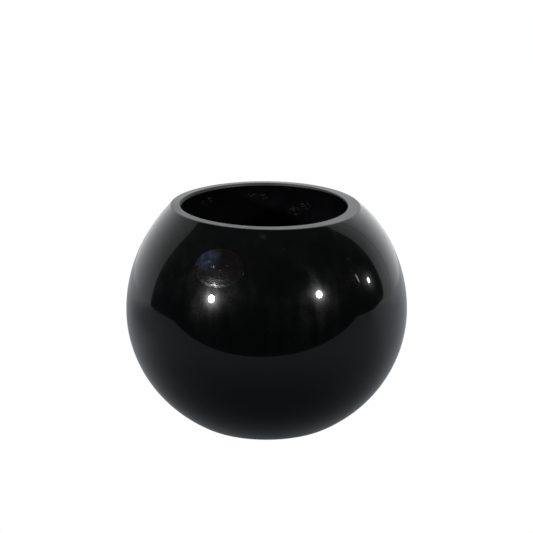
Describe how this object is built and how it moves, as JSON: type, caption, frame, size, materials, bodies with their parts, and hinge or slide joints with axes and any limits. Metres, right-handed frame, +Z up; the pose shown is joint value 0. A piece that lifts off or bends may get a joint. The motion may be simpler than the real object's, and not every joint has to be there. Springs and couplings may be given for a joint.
{
  "type": "round black clay pot",
  "caption": "Round glossy black clay pot with a wide ground mouth, a flat foot and an oval clear label on the shoulder.",
  "frame": {"origin": "centre of the flat foot, on the plane the pot stands on", "axes": "+Z up along the pot's axis of revolution; -Y is the front, with the label to its left at -X"},
  "size_m": [0.2, 0.2, 0.1598],
  "materials": {
    "black_clay": "mirror-gloss black, polished inside and out, with a fine ground satin lip and foot ring",
    "label_film": "clear raised plastic label with a faint violet tint, nothing printed on it"
  },
  "bodies": {
    "root": {"pot_body": "black_clay", "label": "label_film"}
  },
  "joints": []
}
